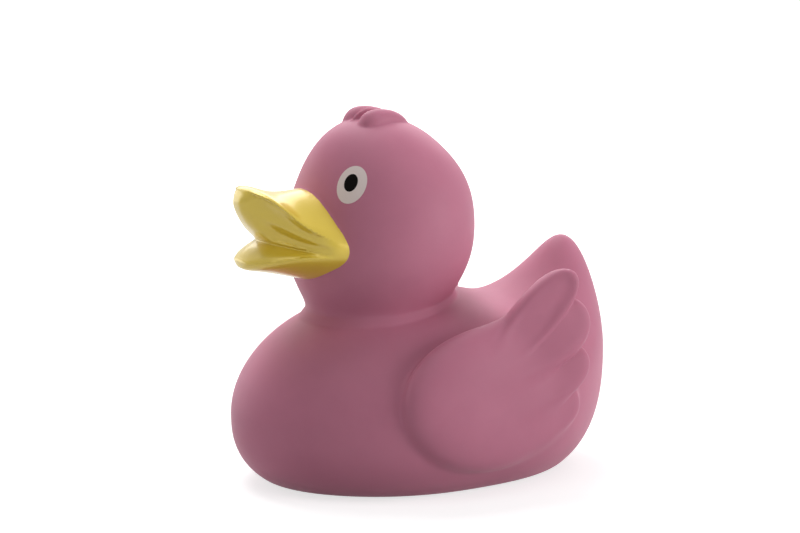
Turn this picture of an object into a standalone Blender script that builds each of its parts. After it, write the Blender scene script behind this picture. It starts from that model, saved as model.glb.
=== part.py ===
"""Rubber duck: one hollow vinyl moulding, standing on a flat base.

Metres, +Z up. The duck faces -Y and is alike on both sides of X = 0. The origin is on the floor, in the
middle of the duck's length and width.

The moulding is made the way a pattern maker would work: body, head, bill, wings and crest are lofted as
closed lobes, the lobes are run together with a soft fillet, the underside is cut flat, and the inside is
hollowed to an even wall and vented through the base.
"""

import math
from collections import namedtuple

import bmesh
import bpy
import numpy as np
from mathutils import Vector

MM = 0.001

# Body. The girth is where the side is fullest. Fullness is how square the body is towards that end.
BODY_LENGTH = 84.2 * MM
BODY_WIDTH = 61.6 * MM
GIRTH_HEIGHT = 17.5 * MM
BACK_HEIGHT = 39.0 * MM
KEEL_DEPTH = 25.2 * MM
TAIL_LIFT = 9.6 * MM
FRONT_FULLNESS = 2.4
REAR_FULLNESS = 3.8
BASE_EDGE_RADIUS = 2.4 * MM

# Head and neck. The head stands on the back, ahead of the middle of the body.
HEAD_AHEAD = 9.3 * MM
HEAD_DIAMETER = 39.6 * MM
NECK_DIAMETER = 30.6 * MM
HEAD_TALL = 50.0 * MM
HEAD_SINK = 12.5 * MM
CROWN_FULLNESS = 5.0

# Bill, measured forward from the head's axis and up from the mouth line. It grips the head by its back part.
BILL_REACH = 33.0 * MM
BILL_WIDTH = 31.6 * MM
BILL_GRIP = 6.0 * MM
BILL_ROUNDNESS = 2.3
MOUTH_ABOVE_BACK = 11.7 * MM
BILL_CROWN = 11.6 * MM
TIP_LIFT = 11.4 * MM
TIP_ROUNDING = 1.5 * MM
TIP_ROUNDING_POWER = 12
MOUTH_CORNER_DROP = 0.3 * MM
LOWER_LIP = 1.9 * MM
CHIN_DEPTH = 5.2 * MM

# Mouth. It opens from its corner to its full depth, both given as shares of the bill's reach, and the depth
# as a share of the bill's outline. The upper jaw bulges at its front. Its sides are coved under the ridge,
# and a channel runs along them over the lip.
MOUTH_CORNER = 0.5
MOUTH_FULL = 0.73
MOUTH_DEPTH = 0.15
FRONT_BULGE = 3.0
COVE_SHARE = 0.45
COVE_HEIGHT = 0.14
LIP_UNDERCUT = 8.0
LOWER_LIP_CURL = 1.3
COVE_STARTS = 1.0 * MM
COVE_FULL = 6.0 * MM
CHANNEL_DEPTH = 0.055
CHANNEL_STARTS = 3.8 * MM
CHANNEL_FULL = 5.2 * MM
CHANNEL_TOP = (0.48, 0.58)
CHANNEL_FOOT = (0.92, 0.82)

# Wings. Each shoulder stands proud of the body's side. Its middle is set from the body's middle and girth.
WING_LENGTH = 37.8 * MM
WING_HEIGHT = 29.4 * MM
WING_PROUD = 2.8 * MM
WING_THICKNESS = 21.6 * MM
WING_AHEAD = 2.2 * MM
WING_OVER_GIRTH = 1.8 * MM
WING_RISE = 3.0
WING_TOE_IN = 3.0
WING_SQUARENESS = 2.6
WING_EDGE_FULLNESS = 1.25

# Feathers, top one first. Back and up place the middle of each from the wing's middle and half_thickness is
# half of how thick it is. Rise is the slope of its length, flare turns its tip out and lean turns its face
# up, in degrees. Dish is how deep its face is hollowed, ahead of its middle and above its middle line by
# shares of its half sizes, so that a rim stays round it. All are set in from the wing's face by one inset.
Feather = namedtuple("Feather", "back up half_length half_width half_thickness rise flare lean dish")
FEATHERS = (
    Feather(10.6 * MM, 14.0 * MM, 17.6 * MM, 4.5 * MM, 3.0 * MM, 44.5, 3.0, 3.0, 1.0 * MM),
    Feather(9.5 * MM, 10.5 * MM, 18.3 * MM, 7.5 * MM, 3.6 * MM, 24.0, 3.0, 10.0, 1.3 * MM),
    Feather(10.0 * MM, 1.6 * MM, 18.0 * MM, 6.3 * MM, 3.6 * MM, 23.0, 3.0, 10.0, 1.1 * MM),
    Feather(18.6 * MM, -2.7 * MM, 6.4 * MM, 4.7 * MM, 3.4 * MM, 50.0, 0.0, 4.0, 0.7 * MM),
)
FEATHER_INSET = 6.4 * MM
FEATHER_SQUARENESS = 3.6
FEATHER_EDGE_FULLNESS = 1.8
DISH_AHEAD = 0.25
DISH_ASIDE = 0.3
DISH_RIM = (0.8, 0.2)

# Crest curls on the crown. Sideways and back place the middle of each from the head's axis.
Curl = namedtuple("Curl", "sideways back sink half_length half_width height splay lean taper")
SIDE_CURL = Curl(3.0 * MM, -1.0 * MM, 0.7 * MM, 6.8 * MM, 2.5 * MM, 2.9 * MM, 7.0, 14.0, 0.35)
MIDDLE_CURL = Curl(0.0, -2.0 * MM, 0.3 * MM, 5.0 * MM, 1.2 * MM, 2.6 * MM, 0.0, 0.0, 0.2)
CURL_DROP = 1.0 * MM

# Moulding: wall, vent, pocket behind the bill, and how finely the lobes are run together.
WALL = 2.2 * MM
VENT_DIAMETER = 4.0 * MM
VENT_BEHIND_MIDDLE = 6.0 * MM
BILL_POCKET_REACH = 24.0 * MM
BILL_POCKET_HEIGHT = 11.0 * MM
GRAIN = BODY_LENGTH / 140.0
NECK_FILLET_PASSES = 24
TRIM_FILLET_PASSES = 3
FINE_FILLET_PASSES = 5
TRIANGLES_KEPT = 0.058
BASE_ALLOWANCE = 0.3 * MM

VINYL_PINK = (0.58, 0.21, 0.30, 1.0)

# Form curves of the body, from its front end at -1 to its rear end at 1: share of the half width, share of
# the girth height, share of the back's rise over the girth, the tail's added rise as a share of its lift,
# share of the keel depth, and how much the section narrows towards its top.
WIDTH_CURVE = ((-1.0, 0.91), (-0.55, 0.99), (-0.03, 1.0), (0.5, 0.93), (1.0, 0.68))
GIRTH_CURVE = ((-1.0, 0.83), (-0.5, 0.91), (-0.03, 1.0), (0.45, 1.14), (1.0, 1.49))
BACK_CURVE = ((-1.0, 1.05), (-0.62, 1.07), (-0.03, 1.02), (0.21, 0.96), (0.43, 0.92), (1.0, 0.9))
TAIL_CURVE = ((-1.0, 0.0), (0.3, 0.0), (0.43, 0.0), (0.57, 0.26), (0.71, 0.9), (0.83, 1.63), (1.0, 2.15))
KEEL_CURVE = ((-1.0, 0.98), (-0.03, 1.0), (1.0, 1.27))
RIDGE_CURVE = ((-1.0, 0.0), (0.0, 0.0), (0.25, 0.05), (0.5, 0.45), (0.64, 1.0), (0.8, 1.6), (1.0, 2.0))

# Form curves of the head, from the neck's foot at 0 to the crown at 1: how far the section has swelled from
# the neck's radius to the head's, and how far it leans forward as a share of the head's radius.
SWELL_CURVE = ((0.0, 0.8), (0.1, 0.36), (0.2, 0.02), (0.27, 0.25), (0.39, 0.80), (0.53, 1.0), (0.67, 0.84),
               (0.81, 0.33), (0.91, -0.24), (1.0, -0.73))
LEAN_CURVE = ((0.0, 0.04), (0.37, 0.02), (0.57, 0.0), (0.77, 0.0), (0.91, 0.035), (1.0, 0.075))

# Form curves of the bill, from the head's axis at 0 to the tip at 1: upper ridge as a share of the tip's
# lift, the middle of the bill's top as a share of its crown, crease of the mouth and drop of the lower lip in
# shares of the lip's depth, and chin as a share of its depth.
BILL_START = 0.25
RIDGE_RISE = ((0.25, -0.02), (0.4, 0.03), (0.5, 0.18), (0.6, 0.34), (0.72, 0.56), (0.85, 0.83), (1.0, 1.0))
CROWN_RISE = ((0.25, 1.14), (0.55, 1.0), (0.67, 0.975), (0.79, 1.01), (0.88, 1.09), (0.94, 1.11), (1.0, 1.08))
CREASE_RISE = ((0.25, -0.2), (0.51, 0.0), (0.65, 0.16), (0.9, 0.95), (1.0, 1.2))
LIP_DROP = ((0.25, 1.0), (0.48, 0.63), (0.67, 0.42), (0.85, 0.68), (1.0, 1.05))
CHIN_DROP = ((0.25, 1.19), (0.48, 1.08), (0.65, 0.83), (0.81, 0.54), (1.0, 0.25))

# Where rings are drawn on the bill: shares of its outline on the top and chin, and of the way into the mouth.
TOP_SHARES = (0.15, 0.35, 0.55, 0.7, 0.82, 0.9, 0.96, 1.0)
UPPER_JAW_SHARES = (0.08, 0.2, 0.34, 0.48, 0.58, 0.7, 0.82, 0.92, 1.0)
LOWER_JAW_SHARES = (0.25, 0.5, 0.75, 1.0)


def clear_scene():
    """Remove whatever the scene starts with."""
    for thing in list(bpy.data.objects):
        bpy.data.objects.remove(thing, do_unlink=True)


def curve_at(points, where):
    """Read the natural cubic curve through (place, value) points at each place in where."""
    knots = np.array([point[0] for point in points])
    values = np.array([point[1] for point in points])
    count = len(knots)
    gaps = np.diff(knots)
    slopes = np.diff(values) / gaps
    system = np.eye(count)
    right_side = np.zeros(count)
    for i in range(1, count - 1):
        system[i, i - 1] = gaps[i - 1]
        system[i, i] = 2.0 * (gaps[i - 1] + gaps[i])
        system[i, i + 1] = gaps[i]
        right_side[i] = 6.0 * (slopes[i] - slopes[i - 1])
    bends = np.linalg.solve(system, right_side)
    place = np.clip(np.asarray(where, dtype=float), knots[0], knots[-1])
    span = np.clip(np.searchsorted(knots, place, side="right") - 1, 0, count - 2)
    gap = gaps[span]
    before = (knots[span + 1] - place) / gap
    after = (place - knots[span]) / gap
    straight = before * values[span] + after * values[span + 1]
    bent = (before**3 - before) * bends[span] + (after**3 - after) * bends[span + 1]
    return straight + bent * gap**2 / 6.0


def ease(place, start, end):
    """A smooth step from 0 at start to 1 at end."""
    share = np.clip((place - start) / (end - start), 0.0, 1.0)
    return share**2 * (3.0 - 2.0 * share)


def loft(mesh, rings, first_pole, last_pole):
    """Skin closed rings of equal count into a closed lobe that ends in a pole at each end."""
    loops = [[mesh.verts.new(Vector(point)) for point in ring] for ring in rings]
    count = len(loops[0])
    faces = []
    for lower, upper in zip(loops, loops[1:]):
        for i in range(count):
            j = (i + 1) % count
            faces.append(mesh.faces.new((lower[i], lower[j], upper[j], upper[i])))
    first = mesh.verts.new(Vector(first_pole))
    last = mesh.verts.new(Vector(last_pole))
    for i in range(count):
        j = (i + 1) % count
        faces.append(mesh.faces.new((first, loops[0][j], loops[0][i])))
        faces.append(mesh.faces.new((last, loops[-1][i], loops[-1][j])))
    bmesh.ops.recalc_face_normals(mesh, faces=faces)


def turns(count):
    """Angles once round a ring."""
    return np.arange(count) * (2.0 * math.pi / count)


def stations(count):
    """Places from -1 to 1 for the rings of a rounded lobe, closer together towards its ends."""
    return np.sin((np.arange(count) + 0.5) / count * math.pi - math.pi / 2.0)


def body_lobe(mesh, inset, ring_count, side_count):
    """Loft the body and tail from upright sections along Y.

    Each section is an ellipse whose upper and lower halves have their own heights. The sections shrink to a
    point at each end as a rounded cap does. The inside is the same form with every size less the wall.
    """
    half_length = BODY_LENGTH / 2.0 - inset
    angles = turns(side_count)
    up = np.sin(angles)
    across = np.cos(angles)
    rings = []
    for along in stations(ring_count):
        fullness = FRONT_FULLNESS if along < 0.0 else REAR_FULLNESS
        shrink = math.sqrt(1.0 - abs(along) ** fullness)
        girth, back, keel, half_width, ridge = body_section(along, inset)
        height = np.where(up > 0.0, back, keel) * shrink * up
        narrowing = 1.0 + ridge * (shrink * np.clip(up, 0.0, 1.0)) ** 2
        x = half_width * shrink * across / narrowing
        z = rest_on_floor(girth + height, inset)
        y = np.full_like(x, along * half_length)
        rings.append(np.stack((x, y, z), axis=1))
    front = (0.0, -half_length, body_section(-1.0, inset)[0])
    rear = (0.0, half_length, body_section(1.0, inset)[0])
    loft(mesh, rings, front, rear)


def body_section(along, inset):
    """Girth height, rise to the back, depth of the keel, half width and ridge of the section at along."""
    girth = GIRTH_HEIGHT * float(curve_at(GIRTH_CURVE, along))
    back = (BACK_HEIGHT - GIRTH_HEIGHT) * float(curve_at(BACK_CURVE, along))
    tail = TAIL_LIFT * float(curve_at(TAIL_CURVE, along))
    keel = KEEL_DEPTH * float(curve_at(KEEL_CURVE, along))
    half_width = BODY_WIDTH / 2.0 * float(curve_at(WIDTH_CURVE, along))
    ridge = float(curve_at(RIDGE_CURVE, along))
    return girth, back + tail - inset, keel - inset, half_width - inset, ridge


def rest_on_floor(z, inset):
    """Flatten what would lie under the base, with a round edge between the side and the base."""
    floor = inset if inset > 0.0 else -BASE_ALLOWANCE
    over = z - floor
    blend = np.clip(0.5 + 0.5 * over / BASE_EDGE_RADIUS, 0.0, 1.0)
    return floor + over * blend + BASE_EDGE_RADIUS * blend * (1.0 - blend)


def head_foot():
    """Height at which the neck's loft starts, inside the body."""
    return BACK_HEIGHT - HEAD_SINK


def head_radius(rise):
    """Radius of the head's level section at a share of its height."""
    neck = NECK_DIAMETER / 2.0
    return neck + (HEAD_DIAMETER / 2.0 - neck) * float(curve_at(SWELL_CURVE, rise))


def head_axis(rise):
    """Place along Y of the middle of the head's section at a share of its height."""
    return -HEAD_AHEAD - HEAD_DIAMETER / 2.0 * float(curve_at(LEAN_CURVE, rise))


def head_lobe(mesh, inset, ring_count, side_count):
    """Loft the neck and head from round level sections, swelling from the neck and closing at the crown."""
    angles = turns(side_count)
    low = head_foot()
    rings = []
    for share in stations(ring_count):
        rise = 0.5 + 0.5 * share
        close = 1.0 - abs(share) ** (CROWN_FULLNESS if share > 0.0 else 2.0 * CROWN_FULLNESS)
        radius = (head_radius(rise) - inset) * math.sqrt(close)
        z = low + inset + (HEAD_TALL - 2.0 * inset) * rise
        x = radius * np.cos(angles)
        y = head_axis(rise) + radius * np.sin(angles)
        rings.append(np.stack((x, y, np.full_like(x, z)), axis=1))
    loft(mesh, rings, (0.0, head_axis(0.0), low + inset), (0.0, head_axis(1.0), low + HEAD_TALL - inset))


def mouth_height():
    """Height of the mouth line at the sides of the head."""
    return BACK_HEIGHT + MOUTH_ABOVE_BACK


def bill_levels(forward):
    """Heights of the upper ridge, the top's middle, the mouth's crease, the lower lip and the chin."""
    mouth = mouth_height()
    ridge = mouth + TIP_LIFT * curve_at(RIDGE_RISE, forward)
    crown = mouth + BILL_CROWN * curve_at(CROWN_RISE, forward)
    crease = mouth - MOUTH_CORNER_DROP + LOWER_LIP * curve_at(CREASE_RISE, forward)
    lip = mouth - LOWER_LIP * curve_at(LIP_DROP, forward)
    chin = mouth - LOWER_LIP - CHIN_DEPTH * curve_at(CHIN_DROP, forward)
    return ridge, np.maximum(crown, ridge), crease, lip, chin


def bill_outline(angles):
    """Plan outline of the bill seen from above, a rounded oblong, as sideways and forward places."""
    power = 2.0 / BILL_ROUNDNESS
    side = np.sin(angles)
    ahead = np.cos(angles)
    x = BILL_WIDTH / 2.0 * np.sign(side) * np.abs(side) ** power
    reach = np.where(ahead > 0.0, BILL_REACH, BILL_GRIP)
    return x, reach * np.sign(ahead) * np.abs(ahead) ** power


def bill_place(forward):
    """Places along the bill as shares of its reach, no nearer the head's axis than its form curves start."""
    return np.clip(forward / BILL_REACH, BILL_START, 1.0)


def dome(share, forward):
    """How far the bill's top or chin has risen from its edge to its middle line, from 0 to 1."""
    on_middle_line = np.clip(np.abs(forward) / BILL_REACH, 0.0, 0.97)
    return (1.0 - share**2) / (1.0 - on_middle_line**2)


def upper_jaw_cut(way, sideways):
    """How far the upper jaw is cut in, as a share of the outline, some way down from ridge to crease."""
    cove = COVE_SHARE * (1.0 - math.exp(-way / COVE_HEIGHT)) + (1.0 - COVE_SHARE) * way**LIP_UNDERCUT
    on_side = ease(sideways, COVE_STARTS, COVE_FULL)
    in_channel = ease(way, *CHANNEL_TOP) * ease(way, *CHANNEL_FOOT)
    channel = CHANNEL_DEPTH * ease(sideways, CHANNEL_STARTS, CHANNEL_FULL) * in_channel
    return MOUTH_DEPTH * (on_side * cove + (1.0 - on_side) * way**FRONT_BULGE) + channel


def bill_lobe(mesh, side_count):
    """Carry the bill's profile round its plan outline.

    The profile runs out over the domed top to the upper ridge, in to the crease of the open mouth, out
    again to the lower lip, and back in along the chin. The upper ridge sweeps up to the rounded tip.
    """
    x_edge, u_edge = bill_outline(turns(side_count))
    axis = head_axis(0.5)
    opened = ease(bill_place(u_edge), MOUTH_CORNER, MOUTH_FULL)
    rounding = TIP_ROUNDING * ease(bill_place(u_edge), MOUTH_FULL, 1.0)
    rings = []

    def ring(share, level):
        """Place one ring at a share of the outline, at the height that level gives."""
        forward = u_edge * share
        z = level(bill_levels(bill_place(forward)), dome(share, forward))
        rings.append(np.stack((x_edge * share, axis - forward, z), axis=1))

    for share in TOP_SHARES:
        drop = rounding * share**TIP_ROUNDING_POWER
        ring(share, lambda at, swell, drop=drop: at[0] + (at[1] - at[0]) * swell - drop)
    for way in UPPER_JAW_SHARES:
        drop = rounding * (1.0 - way)
        ring(1.0 - opened * upper_jaw_cut(way, np.abs(x_edge)),
             lambda at, swell, way=way, drop=drop: at[0] + (at[2] - at[0]) * way - drop)
    for way in LOWER_JAW_SHARES:
        ring(1.0 - opened * MOUTH_DEPTH * (1.0 - way) ** LOWER_LIP_CURL,
             lambda at, swell, way=way: at[2] + (at[3] - at[2]) * way)
    for share in reversed(TOP_SHARES[:-1]):
        ring(share, lambda at, swell: at[3] + (at[4] - at[3]) * swell)
    start = bill_levels(np.array([BILL_START]))
    loft(mesh, rings, (0.0, axis, float(start[1][0])), (0.0, axis, float(start[4][0])))


def lobe_axes(rise, flare, lean):
    """Axes of a wing lobe: along it, across it and out of its face, in degrees.

    The lobe points back and rises by rise. Its rear end turns out from the body by flare, and its face leans
    up by lean.
    """
    up = math.radians(rise)
    out = math.radians(flare)
    tip = math.radians(lean)
    along = Vector((math.sin(out), math.cos(out) * math.cos(up), math.cos(out) * math.sin(up)))
    level = Vector((0.0, -math.sin(up), math.cos(up)))
    face = along.cross(level).normalized()
    across = along.cross(face)
    if across.z < 0.0:
        across.negate()
    return along, across * math.cos(tip) - face * math.sin(tip), face * math.cos(tip) + across * math.sin(tip)


def oval_lobe(mesh, centre, axes, sizes, squareness=2.0, fullness=1.0, curl=0.0, taper=0.0, dish=0.0,
              rings=12, sides=12):
    """Loft an oval lobe about a centre.

    It may have a squarer end and a fuller edge, taper towards its end, curl towards its face and have its
    face dished.
    """
    along, across, face = axes
    middle = Vector(centre)
    loops = []
    for share in stations(rings):
        narrow = 1.0 - taper * share
        width = narrow * math.sqrt(1.0 - abs(share) ** squareness)
        depth = narrow * math.sqrt(1.0 - abs(share) ** (squareness * fullness))
        spine = middle + along * (sizes[0] * share) + face * (curl * share**2)
        loop = []
        for angle in turns(sides):
            aside = width * math.copysign(abs(math.cos(angle)) ** (1.0 / fullness), math.cos(angle))
            out = sizes[2] * depth * math.sin(angle)
            if out > 0.0:
                out -= dish * dish_share(share, aside)
            loop.append(spine + across * (sizes[1] * aside) + face * out)
        loops.append(loop)
    loft(mesh, loops, middle - along * sizes[0] + face * curl, middle + along * sizes[0] + face * curl)


def dish_share(ahead, aside):
    """How deep a dish is at a place on a lobe's face, as a share of its depth."""
    end = abs((ahead - DISH_AHEAD) / (1.0 - DISH_AHEAD)) ** FEATHER_SQUARENESS
    return float(ease(end + (aside - DISH_ASIDE) ** 2, *DISH_RIM))


def on_side(side, vectors):
    """The same directions on either side of the duck. Side is 1 or -1."""
    return [vector * Vector((side, 1.0, 1.0)) for vector in vectors]


def wing_face():
    """How far the wing's face lies from the middle plane."""
    return BODY_WIDTH / 2.0 + WING_PROUD


def wing_shoulder(mesh, side, inset, rings, sides):
    """Loft the broad rounded shoulder of one wing, or its inside with every size less the wall."""
    centre = (side * (wing_face() - WING_THICKNESS / 2.0), -WING_AHEAD, GIRTH_HEIGHT + WING_OVER_GIRTH)
    sizes = [size / 2.0 - inset for size in (WING_LENGTH, WING_HEIGHT, WING_THICKNESS)]
    axes = on_side(side, lobe_axes(WING_RISE, -WING_TOE_IN, 0.0))
    oval_lobe(mesh, centre, axes, sizes, squareness=WING_SQUARENESS, fullness=WING_EDGE_FULLNESS,
              rings=rings, sides=sides)


def wing_feathers(mesh, side):
    """Loft the feather tips of one wing, which fan out behind the shoulder, each over the next one down."""
    for feather in FEATHERS:
        centre = (side * (wing_face() - FEATHER_INSET), feather.back - WING_AHEAD,
                  GIRTH_HEIGHT + WING_OVER_GIRTH + feather.up)
        axes = on_side(side, lobe_axes(feather.rise, feather.flare, feather.lean))
        sizes = (feather.half_length, feather.half_width, feather.half_thickness)
        oval_lobe(mesh, centre, axes, sizes, squareness=FEATHER_SQUARENESS, fullness=FEATHER_EDGE_FULLNESS,
                  dish=feather.dish, rings=28, sides=28)


def crest_curl(mesh, curl, side):
    """Loft one swept curl on the crown. Side is 1, -1 or 0 for the middle one."""
    splay = math.radians(curl.splay)
    lean = math.radians(curl.lean)
    along = Vector((-side * math.sin(splay), math.cos(splay), 0.0))
    face = Vector((side * math.sin(lean), 0.0, math.cos(lean)))
    across = along.cross(face).normalized()
    crown = head_foot() + HEAD_TALL
    centre = (side * curl.sideways, curl.back - HEAD_AHEAD, crown - curl.sink)
    oval_lobe(mesh, centre, (along, across, face), (curl.half_length, curl.half_width, curl.height),
              curl=-CURL_DROP, taper=curl.taper, rings=16, sides=14)


def make_object(name, build):
    """Make a mesh object from a function that fills a bmesh."""
    shape = bmesh.new()
    build(shape)
    mesh = bpy.data.meshes.new(name)
    shape.to_mesh(mesh)
    shape.free()
    thing = bpy.data.objects.new(name, mesh)
    bpy.context.scene.collection.objects.link(thing)
    return thing


def make_guide(name, build):
    """Make an object that only shapes the duck and isn't part of it."""
    guide = make_object(name, build)
    guide.hide_render = True
    guide.display_type = "WIRE"
    return guide


def main_lobes(mesh):
    """The body and the head, overlapping as the pattern's pieces do before they are blended."""
    body_lobe(mesh, 0.0, 48, 64)
    head_lobe(mesh, 0.0, 40, 48)


def fine_lobes(mesh):
    """The bill, wings and crest, which join the main forms with a tighter fillet than the neck's."""
    bill_lobe(mesh, 56)
    for side in (-1, 1):
        wing_shoulder(mesh, side, 0.0, 24, 32)
        wing_feathers(mesh, side)
        crest_curl(mesh, SIDE_CURL, side)
    crest_curl(mesh, MIDDLE_CURL, 0)


def bill_pocket(mesh):
    """The hollow that runs from the head a little way into the bill."""
    axes = (Vector((0.0, -1.0, 0.0)), Vector((1.0, 0.0, 0.0)), Vector((0.0, 0.0, 1.0)))
    half_length = BILL_POCKET_REACH / 2.0
    half_width = BILL_WIDTH / 2.0 - 2.0 * WALL
    height = mouth_height() + (BILL_CROWN - CHIN_DEPTH) / 4.0
    oval_lobe(mesh, (0.0, -HEAD_AHEAD - half_length, height), axes,
              (half_length, half_width, BILL_POCKET_HEIGHT / 2.0), rings=12, sides=20)


def floor_block(mesh):
    """Block whose top is the floor, which trims the base flat."""
    depth = BODY_WIDTH / 4.0
    bmesh.ops.create_cube(mesh, size=1.0)
    bmesh.ops.scale(mesh, vec=(BODY_WIDTH * 1.5, BODY_LENGTH * 1.5, depth), verts=mesh.verts)
    bmesh.ops.translate(mesh, vec=(0.0, 0.0, -depth / 2.0), verts=mesh.verts)


def vent_drill(mesh):
    """Drill for the vent hole through the base."""
    bmesh.ops.create_cone(mesh, cap_ends=True, segments=32, radius1=VENT_DIAMETER / 2.0,
                          radius2=VENT_DIAMETER / 2.0, depth=WALL * 4.0)
    bmesh.ops.translate(mesh, vec=(0.0, VENT_BEHIND_MIDDLE, WALL), verts=mesh.verts)


def fuse(thing, fillet_passes):
    """Run overlapping lobes together into one skin and ease its creases into fillets."""
    skin = thing.modifiers.new("fuse_lobes", "REMESH")
    skin.mode = "VOXEL"
    skin.voxel_size = GRAIN
    skin.adaptivity = 0.0
    fillet = thing.modifiers.new("ease_creases", "SMOOTH")
    fillet.factor = 0.5
    fillet.iterations = fillet_passes


def lighten(thing):
    """Keep only the triangles that the form needs."""
    fewer = thing.modifiers.new("lighten", "DECIMATE")
    fewer.ratio = TRIANGLES_KEPT


def boolean(thing, other, operation):
    """Add or cut one object to or out of another."""
    step = thing.modifiers.new(other.name, "BOOLEAN")
    step.operation = operation
    step.solver = "EXACT"
    step.object = other


def cut(thing, cutter):
    """Cut one object out of another."""
    boolean(thing, cutter, "DIFFERENCE")


def hollow(duck):
    """Hollow the moulding to an even wall: body, neck and head, wing shoulders and the root of the bill."""
    cut(duck, make_guide("body_hollow", lambda mesh: body_lobe(mesh, WALL, 22, 28)))
    cut(duck, make_guide("head_hollow", lambda mesh: head_lobe(mesh, WALL, 18, 24)))
    cut(duck, make_guide("left_wing_hollow", lambda mesh: wing_shoulder(mesh, 1, WALL, 12, 16)))
    cut(duck, make_guide("right_wing_hollow", lambda mesh: wing_shoulder(mesh, -1, WALL, 12, 16)))
    cut(duck, make_guide("bill_hollow", bill_pocket))


def vinyl(name, colour):
    """Matt soft vinyl."""
    material = bpy.data.materials.new(name)
    material.use_nodes = True
    surface = material.node_tree.nodes["Principled BSDF"]
    surface.inputs["Base Color"].default_value = colour
    surface.inputs["Roughness"].default_value = 0.5
    surface.inputs["Metallic"].default_value = 0.0
    return material


def duck_body():
    """The whole moulding."""
    duck = make_object("duck_body", main_lobes)
    fuse(duck, NECK_FILLET_PASSES)
    trim = make_guide("bill_wings_crest", fine_lobes)
    fuse(trim, TRIM_FILLET_PASSES)
    boolean(duck, trim, "UNION")
    fuse(duck, FINE_FILLET_PASSES)
    lighten(duck)
    cut(duck, make_guide("floor_block", floor_block))
    hollow(duck)
    cut(duck, make_guide("vent_drill", vent_drill))
    duck.data.shade_smooth()
    duck.data.materials.append(vinyl("vinyl_pink", VINYL_PINK))
    return duck


def main():
    """Build the duck."""
    clear_scene()
    duck_body()


if __name__ == "__main__":
    main()
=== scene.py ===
"""A rubber duck: one blown skin of soft pink vinyl, a pearly yellow lacquered bill and two printed eyes.

The skin, the lacquer and the eyes are read from one set of rounded forms, so they fit. Sizes are in metres in
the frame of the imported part: the duck looks along -Y, +Z is up and its flat base lies at Z = 0.
"""

import logging
import math
from abc import ABC, abstractmethod
from dataclasses import dataclass, field, replace
from enum import Enum
from itertools import product

import bpy
import numpy as np
from mathutils import Matrix, Vector


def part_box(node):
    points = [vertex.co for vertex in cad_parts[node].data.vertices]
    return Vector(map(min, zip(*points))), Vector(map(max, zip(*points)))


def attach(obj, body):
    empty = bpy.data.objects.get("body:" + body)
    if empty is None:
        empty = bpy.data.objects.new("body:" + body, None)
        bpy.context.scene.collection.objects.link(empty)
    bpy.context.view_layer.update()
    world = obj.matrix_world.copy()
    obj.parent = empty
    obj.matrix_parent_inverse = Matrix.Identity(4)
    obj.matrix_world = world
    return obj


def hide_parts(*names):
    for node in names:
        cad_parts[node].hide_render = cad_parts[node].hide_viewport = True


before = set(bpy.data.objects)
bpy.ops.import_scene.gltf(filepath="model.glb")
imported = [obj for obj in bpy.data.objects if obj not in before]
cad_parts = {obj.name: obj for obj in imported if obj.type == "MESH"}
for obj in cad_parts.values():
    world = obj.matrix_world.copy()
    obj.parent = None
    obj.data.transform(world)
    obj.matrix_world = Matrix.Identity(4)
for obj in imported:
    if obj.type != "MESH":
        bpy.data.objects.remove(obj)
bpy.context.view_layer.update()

Array = np.ndarray
Point = tuple[float, float, float]
Span = tuple[float, float]
Noise = tuple[float, float, float]
Piece = bpy.types.Object
Socket = bpy.types.NodeSocket
MM = 0.001
PHOTO_SIZE = (800, 533)
DUCK_NODE = "duck_body"
DUCK_BODY = "root"
NORMAL_FEEL = 0.20 * MM
LEAST_SLOPE = 1.0e-6
LEAST_FACE_SLOPE = 1.0e-3
SHOULDER_FULLNESS = (2.0, 1.5)
FEATHER_FULLNESS = (3.6, 1.8)
WHITE = (1.0, 1.0, 1.0, 1.0)
WHOLE_SPAN = (0.0, 1.0)

log = logging.getLogger("duck")


def soft_union(first: Array, second: Array, fillet: Array | float) -> Array:
    """Join two distances with a fillet.

    Where both distances are within the fillet of each other the lower one is drawn down by a parabola, so
    the joint is filled smoothly. Elsewhere the lower distance stands.

    Args:
        first: Distance to the first form.
        second: Distance to the second form.
        fillet: Width of the fillet.

    Returns:
        Distance to the joined form.
    """
    share = np.clip(0.5 + 0.5 * (second - first) / fillet, 0.0, 1.0)
    return second + (first - second) * share - fillet * share * (1.0 - share)


def soft_overlap(first: Array, second: Array, fillet: Array | float) -> Array:
    """Keep what lies in both forms, with the edge between them rounded by the same parabola.

    Args:
        first: Distance to the first form.
        second: Distance to the second form.
        fillet: Width of the rounding.

    Returns:
        Distance to the shared form.
    """
    return -soft_union(-first, -second, fillet)


def unit(vector: Point | Array) -> Array:
    """The vector at length one."""
    return np.asarray(vector) / np.linalg.norm(vector)


def ease(place: Array, start: float, end: float) -> Array:
    """A smooth step from nought at start to one at end, 3 t^2 - 2 t^3."""
    share = np.clip((place - start) / (end - start), 0.0, 1.0)
    return share**2 * (3.0 - 2.0 * share)


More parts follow.
